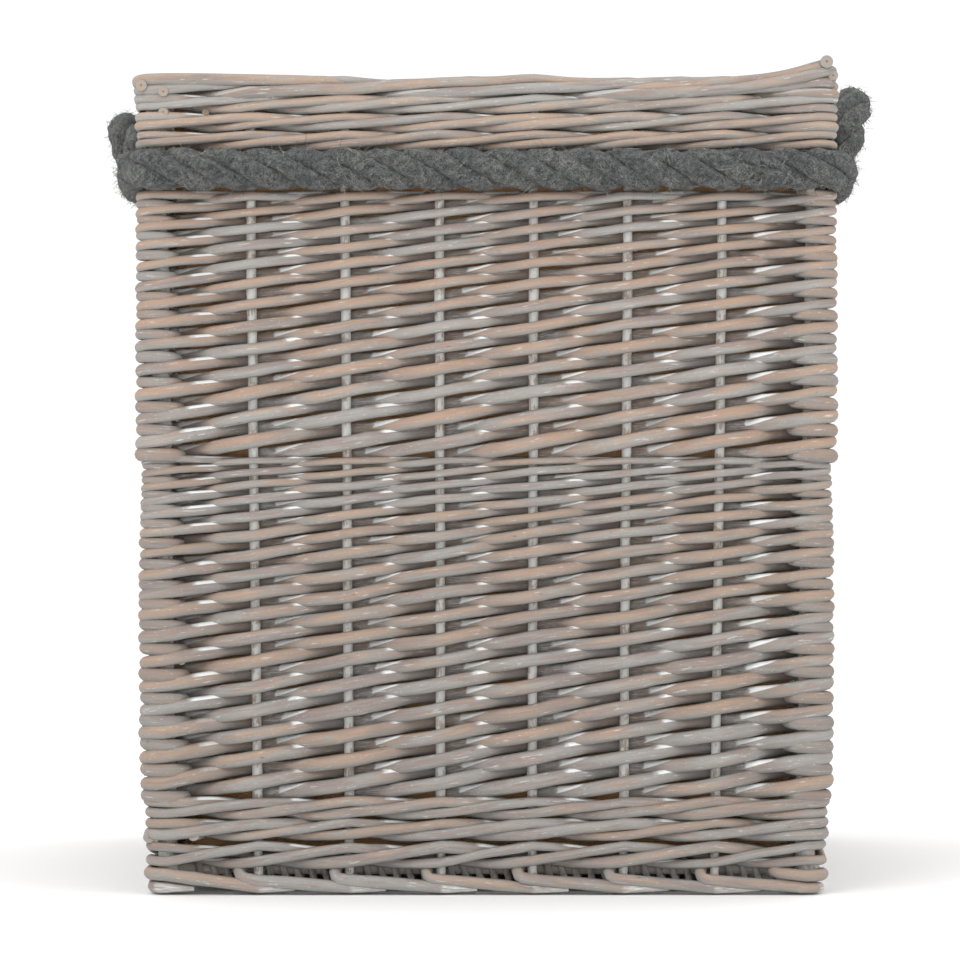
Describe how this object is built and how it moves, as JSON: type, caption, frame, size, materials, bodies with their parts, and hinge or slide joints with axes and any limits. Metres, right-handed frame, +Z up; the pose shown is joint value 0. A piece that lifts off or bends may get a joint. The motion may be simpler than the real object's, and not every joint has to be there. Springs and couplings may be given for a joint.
{
  "type": "wicker log basket",
  "caption": "Tall square willow log basket with a fabric lining, a rope laid in a groove under the rim and two rope carrying loops.",
  "frame": {"origin": "centre of the foot, on the floor", "axes": "+Z up, front of the basket towards -Y, the two rope handles on the +X and -X sides"},
  "size_m": [0.5356, 0.4898, 0.5438],
  "materials": {
    "rand_willow": "antique-wash grey brown, matt",
    "wale_willow": "antique-wash grey brown, matt",
    "border_willow": "antique-wash grey brown with whitened cuts, matt",
    "stake_wood": "whitewashed peeled willow, matt",
    "base_willow": "antique-wash grey brown, matt",
    "hessian": "natural jute hessian, plain weave",
    "rope": "dark slate three-strand rope, hairy"
  },
  "bodies": {
    "basket": {"corner_post_front_left": "stake_wood", "corner_post_front_right": "stake_wood", "corner_post_back_right": "stake_wood", "corner_post_back_left": "stake_wood", "stake_front_1": "stake_wood", "stake_front_2": "stake_wood", "stake_front_3": "stake_wood", "stake_front_4": "stake_wood", "stake_front_5": "stake_wood", "stake_front_6": "stake_wood", "stake_right_1": "stake_wood", "stake_right_2": "stake_wood", "stake_right_3": "stake_wood", "stake_right_4": "stake_wood", "stake_right_5": "stake_wood", "stake_right_6": "stake_wood", "stake_back_1": "stake_wood", "stake_back_2": "stake_wood", "stake_back_3": "stake_wood", "stake_back_4": "stake_wood", "stake_back_5": "stake_wood", "stake_back_6": "stake_wood", "stake_left_1": "stake_wood", "stake_left_2": "stake_wood", "stake_left_3": "stake_wood", "stake_left_4": "stake_wood", "stake_left_5": "stake_wood", "stake_left_6": "stake_wood", "foot_border": "border_willow", "bottom_wale_1": "wale_willow", "bottom_wale_2": "wale_willow", "bottom_wale_3": "wale_willow", "lower_rand": "rand_willow", "upper_rand": "rand_willow", "top_wale_1": "wale_willow", "top_wale_2": "wale_willow", "top_wale_3": "wale_willow", "top_border": "border_willow", "base_stick_front": "base_willow", "base_stick_back": "base_willow", "base_stick_1": "base_willow", "base_stick_2": "base_willow", "base_stick_3": "base_willow", "base_stick_4": "base_willow", "base_stick_5": "base_willow", "base_weave": "base_willow", "lining": "hessian", "rope_front": "rope", "rope_back": "rope"},
    "left_handle": {"handle_left": "rope"},
    "right_handle": {"handle_right": "rope"}
  },
  "joints": [
    {"name": "right_handle_swing", "type": "hinge", "parent": "basket", "child": "right_handle", "pos_m": [0.23777, 0, 0.471], "axis": [0, 1, 0], "range_deg": [0, 125]},
    {"name": "left_handle_swing", "type": "hinge", "parent": "basket", "child": "left_handle", "pos_m": [-0.23777, 0, 0.471], "axis": [0, -1, 0], "range_deg": [0, 125]}
  ]
}
